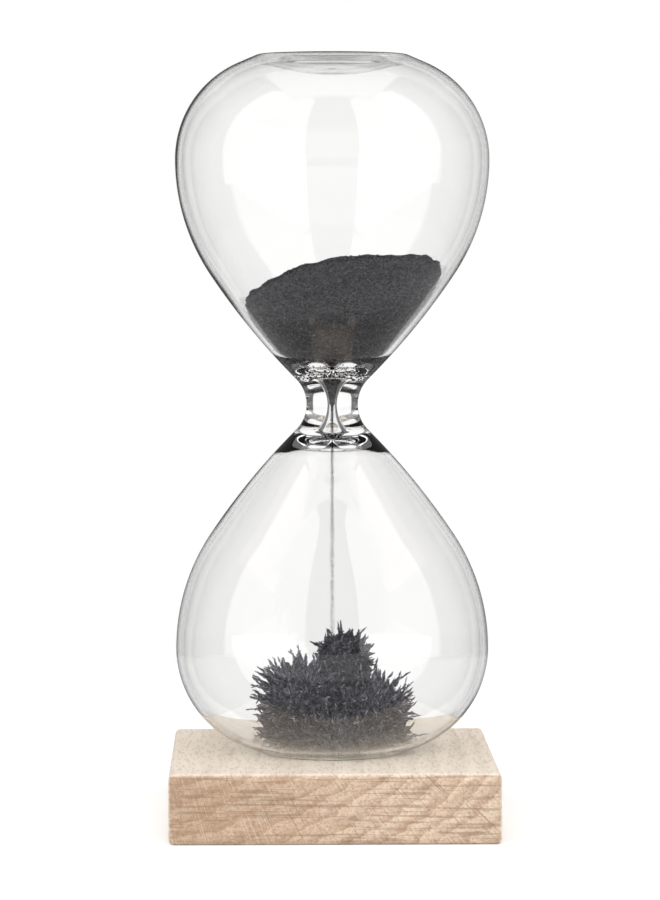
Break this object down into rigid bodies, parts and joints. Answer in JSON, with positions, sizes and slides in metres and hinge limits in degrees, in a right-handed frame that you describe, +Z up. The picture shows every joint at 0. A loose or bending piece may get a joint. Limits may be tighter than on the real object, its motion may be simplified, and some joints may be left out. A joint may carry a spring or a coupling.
{
  "type": "magnetic hourglass",
  "caption": "Blown glass hourglass of iron filings on a square beech block with a hidden magnet that raises the fallen filings into spikes; the vessel lifts off and turns over.",
  "frame": {"origin": "centre of the block's underside, on the surface it stands on", "axes": "+Z up along the vessel's axis, -Y towards the block's front, +X to the right"},
  "size_m": [0.068, 0.068, 0.1615],
  "materials": {
    "beech": "satin",
    "plug_wood": "satin",
    "magnet": "satin",
    "adhesive": "satin",
    "vessel_glass": "gloss",
    "seal_glass": "gloss",
    "iron_filings": "matte"
  },
  "bodies": {
    "base": {"base_block": "beech", "magnet_disc": "magnet", "magnet_adhesive": "adhesive", "pocket_plug": "plug_wood"},
    "filings": {"filings_upper": "iron_filings", "filings_throat": "iron_filings", "filings_stream": "iron_filings", "filings_mound": "iron_filings", "filings_crest": "iron_filings"},
    "vessel": {"glass_vessel": "vessel_glass", "fill_seal": "seal_glass"}
  },
  "joints": [
    {"name": "vessel_lift", "type": "slide", "parent": "base", "child": "filings", "axis": [0, 0, 1], "range_m": [0, 0.07]},
    {"name": "vessel_turn", "type": "hinge", "parent": "filings", "child": "vessel", "pos_m": [0, 0, 0.088], "axis": [0, 1, 0], "range_deg": [0, 180], "deforming": ["filings_upper", "filings_throat", "filings_stream", "filings_mound", "filings_crest"]}
  ],
  "couplings": [
    {"joint": "vessel_lift", "follows": "vessel_turn", "m_per_rad": 0.0222}
  ]
}
